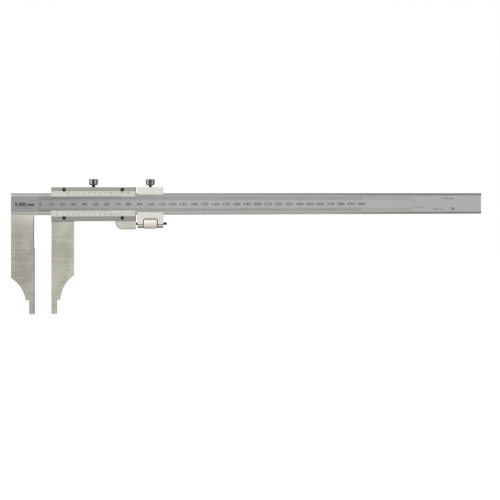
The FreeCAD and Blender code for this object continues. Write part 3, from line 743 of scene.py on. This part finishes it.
def feed_screw():
    """The feed screw: plain in the slider's lug, a true helix beyond it, chamfered at its tip."""
    low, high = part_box("feed_screw")
    centre = (low + high) / 2
    radius, depth, chamfer = 1.25 * MM, 0.18 * MM, 0.3 * MM
    run_out = 0.05 * MM
    around, rows_per_turn = 24, 8
    thread_start = SLIDER_HIGH.x - 2 * MM
    thread_length = high.x - chamfer - run_out - thread_start
    rows = int(thread_length / THREAD_PITCH * rows_per_turn)
    stations = [low.x, thread_start - run_out]
    stations += [thread_start + i * THREAD_PITCH / rows_per_turn for i in range(rows + 1)]
    stations += [high.x - chamfer, high.x]

    def radius_at(x, k):
        if x < thread_start:
            return radius
        if x == high.x:
            return radius - chamfer
        phase = (x / THREAD_PITCH - k / around) % 1
        return radius - depth * (1 - abs(2 * phase - 1))

    vertices = []
    for x in stations:
        for k in range(around):
            angle = math.tau * k / around
            r = radius_at(x, k)
            vertices.append((x, centre.y + r * math.cos(angle), centre.z + r * math.sin(angle)))
    faces = [list(range(around)), list(range(len(vertices) - around, len(vertices)))]
    for i in range(len(stations) - 1):
        faces += band(i * around, (i + 1) * around, around)
    mesh = mesh_from("feed_thread", vertices, faces)
    item = piece("feed_screw_threaded", mesh, "slider",
                 finish_of("feed_screw"))
    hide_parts("feed_screw")


# Stage, light and camera

def stage():
    """A pale floor that meets the white surroundings without an edge."""
    half = 4.0
    z = cad_bounds[0].z - 0.1 * MM
    corners = [(x, y, z) for x, y in ((-half, -half), (half, -half), (half, half), (-half, half))]
    mesh = mesh_from("floor", corners, [(0, 1, 2, 3)])
    floor = bpy.data.objects.new("floor", mesh)
    bpy.context.scene.collection.objects.link(floor)
    floor.visible_glossy = False
    floor.visible_diffuse = False
    material = bpy.data.materials.new("pale_floor")
    material.use_nodes = True
    tree = Tree(material.node_tree)
    diffuse = tree.add("BsdfDiffuse", {"Color": (0.1, 0.1, 0.1, 1)})
    glow = tree.add("Emission", {"Color": (1, 1, 1, 1), "Strength": 0.92})
    sum_of_both = tree.add("AddShader", {0: diffuse.outputs[0], 1: glow.outputs[0]})
    tree.add("OutputMaterial", {"Surface": sum_of_both.outputs[0]})
    mesh.materials.append(material)


def surroundings():
    """White to the camera; to the metal, a light tent with a dark gap around its horizon.

    The gap is broken by a tall light panel on each side, and the ground right below is dark.
    Bearings are in degrees from straight in front, heights in degrees above level.
    """
    world = bpy.data.worlds.new("studio")
    world.use_nodes = True
    bpy.context.scene.world = world
    tree = Tree(world.node_tree)
    direction = tree.add("TexCoord").outputs["Generated"]
    split = tree.add("SeparateXYZ", {0: direction})
    across, depth, up = split.outputs
    bearing = tree.maths("ARCTAN2", across, tree.maths("MULTIPLY", depth, -1))
    bearing = tree.maths("DEGREES", bearing)
    height = tree.maths("DEGREES", tree.maths("ARCSINE", up))
    panels = tree.maths("ADD", tree.window(bearing, -105, -44, 4),
                        tree.window(bearing, 42, 76, 4))
    gap = tree.maths("MULTIPLY", tree.window(height, -14, 5, 3),
                     tree.maths("SUBTRACT", 1, panels))
    ground = tree.window(height, -100, -62, 6)
    level = tree.maths("ADD", 0.95, tree.maths("MULTIPLY", tree.window(height, 35, 100, 20), 0.2))
    level = tree.maths("SUBTRACT", level, tree.maths("MULTIPLY", gap, 0.6))
    level = tree.maths("SUBTRACT", level, tree.maths("MULTIPLY", ground, 0.8))
    camera_ray = tree.add("LightPath").outputs["Is Camera Ray"]
    tent = tree.add("Background", {"Color": (1, 1, 1, 1), "Strength": level})
    white = tree.add("Background", {"Color": (1, 1, 1, 1), "Strength": 1.0})
    shown = tree.add("MixShader", {0: camera_ray, 1: tent.outputs[0], 2: white.outputs[0]})
    tree.add("OutputWorld", {"Surface": shown.outputs[0]})


def head_strips(heads):
    """Two upright light strips that only the clamp screws reflect, one on each side.

    across and forward give a strip's place from the middle between the heads.
    """
    height = 0.36
    lit = bpy.data.collections.new("strip_lit")
    for head in heads:
        lit.objects.link(head)
    middle = (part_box("slider_clamp_screw")[0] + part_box("carriage_clamp_screw")[1]) / 2
    for name, across, forward, width, power in (("left_strip", -0.56, 0.22, 0.30, 1.6),
                                                ("right_strip", 0.49, 0.35, 0.14, 0.95)):
        place = (middle.x + across, middle.y - forward, middle.z)
        strip = lamp(name, place, middle, (width, height), power)
        strip.light_linking.receiver_collection = lit


def lamp(name, place, aim, size, power):
    """A rectangular light at a place, turned towards its aim."""
    light = bpy.data.lights.new(name, "AREA")
    light.shape = "RECTANGLE"
    light.size, light.size_y = size
    light.energy = power
    item = bpy.data.objects.new(name, light)
    item.location = place
    item.rotation_euler = (Vector(aim) - Vector(place)).to_track_quat("-Z", "Y").to_euler()
    bpy.context.scene.collection.objects.link(item)
    return item


def camera():
    """A long lens level with the beam, turned a little towards its far end."""
    along, distance, height = 0.0831, 0.85, BEAM_TOP + 0.3 * MM
    turn = 7.69
    data = bpy.data.cameras.new("camera")
    data.sensor_width = 36
    data.lens = 65.7
    data.shift_y = -0.1142
    item = bpy.data.objects.new("camera", data)
    item.location = (along, -distance, height)
    item.rotation_euler = (math.radians(90), 0, math.radians(-turn))
    bpy.context.scene.collection.objects.link(item)
    bpy.context.scene.camera = item


dress_cad_nodes()
beam_scale()
beam_marks()
vernier_scales()
heads = [clamp_screw("slider_clamp_screw", "slider_clamp"),
         clamp_screw("carriage_clamp_screw", "carriage_clamp")]
adjust_nut()
feed_screw()
stage()
surroundings()
lamp("key", (-0.5, -0.8, 1.0), (0.1, 0, 0.05), (1.0, 0.6), 7)
head_strips(heads)
camera()
bpy.context.scene.view_settings.view_transform = "Standard"
